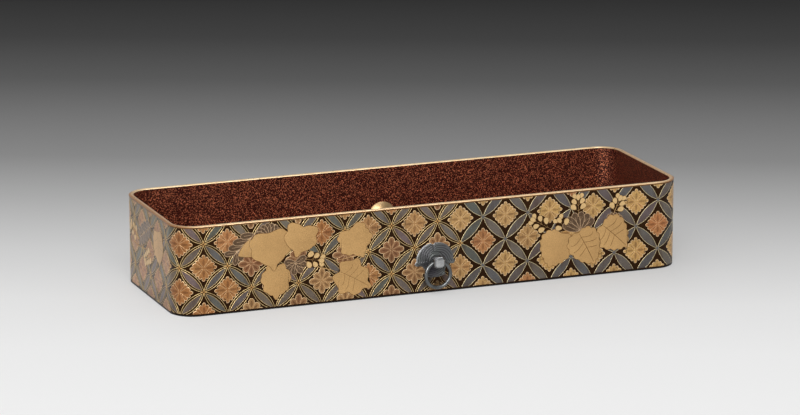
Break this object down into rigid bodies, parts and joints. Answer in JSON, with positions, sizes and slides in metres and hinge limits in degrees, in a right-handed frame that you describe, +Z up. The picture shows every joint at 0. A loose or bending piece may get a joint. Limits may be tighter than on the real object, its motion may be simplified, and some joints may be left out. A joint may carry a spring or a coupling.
{
  "type": "lacquered letter box",
  "caption": "Long, low lacquered box body with rounded corners, open at the top, for rolled letters and papers, with a hanging metal cord ring on each long side.",
  "frame": {"origin": "on the floor under the middle of the box", "axes": "+X along the box to the right, +Y from the front long side to the back one, +Z up"},
  "size_m": [0.2504, 0.0918, 0.042],
  "materials": {
    "wood_core": "bare cypress under the lacquer",
    "black_lacquer": "polished black lacquer",
    "nashiji_lacquer": "reddish brown lacquer with gold flakes",
    "gold": "polished gold powder",
    "dark_metal": "dark grey patina, engraved",
    "grey_metal": "grey alloy, worn smooth",
    "gilt_metal": "polished gilding"
  },
  "bodies": {
    "box": {"front_board": "wood_core", "back_board": "wood_core", "left_board": "wood_core", "right_board": "wood_core", "front_left_corner": "wood_core", "front_right_corner": "wood_core", "back_left_corner": "wood_core", "back_right_corner": "wood_core", "bottom_board": "wood_core", "underside_lacquer": "black_lacquer", "outer_lacquer": "black_lacquer", "nashiji_lining": "nashiji_lacquer", "gold_rim": "gold", "front_plate": "dark_metal", "front_split_pin": "grey_metal", "front_inner_cap": "gilt_metal", "back_plate": "dark_metal", "back_split_pin": "grey_metal", "back_inner_cap": "gilt_metal"},
    "front_ring": {"front_ring": "grey_metal"},
    "back_ring": {"back_ring": "grey_metal"}
  },
  "joints": [
    {"name": "front_ring_swing", "type": "hinge", "parent": "box", "child": "front_ring", "pos_m": [0, -0.0431, 0.0155], "axis": [-1, 0, 0], "range_deg": [-14, 194]},
    {"name": "back_ring_swing", "type": "hinge", "parent": "box", "child": "back_ring", "pos_m": [0.0035, 0.0431, 0.018], "axis": [1, 0, 0], "range_deg": [-14, 194]}
  ]
}
